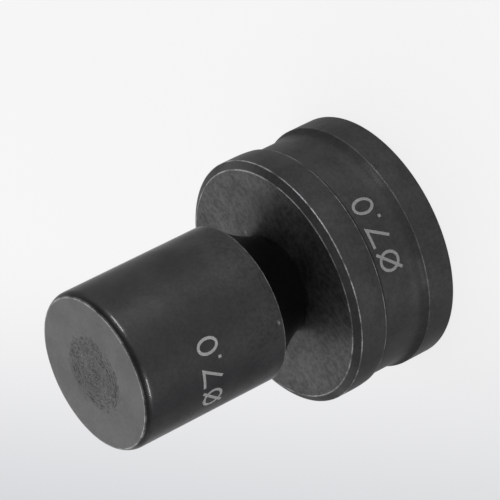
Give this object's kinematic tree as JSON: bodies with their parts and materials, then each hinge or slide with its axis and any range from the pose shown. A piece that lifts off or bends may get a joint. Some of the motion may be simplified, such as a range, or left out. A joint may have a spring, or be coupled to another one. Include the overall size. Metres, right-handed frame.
{
  "type": "hydraulic hole punch and die set",
  "caption": "Turned steel hole punch seated in its grooved round die, black oxide finish, for pressing round holes in plate with a hydraulic puncher.",
  "frame": {"origin": "centre of the die's base, which the set stands on", "axes": "+Z along the common axis of the punch and the die, from the die's base towards the punch's back face"},
  "size_m": [0.031, 0.031, 0.0417],
  "materials": {
    "die_steel": "black oxide over turned steel, bright along worn edges",
    "punch_steel": "black oxide over ground and faced steel"
  },
  "bodies": {
    "die": {"die": "die_steel"},
    "punch": {"punch": "punch_steel"}
  },
  "joints": [
    {"name": "punch_stroke", "type": "slide", "parent": "die", "child": "punch", "axis": [0, 0, 1], "range_m": [0, 0.018]}
  ]
}
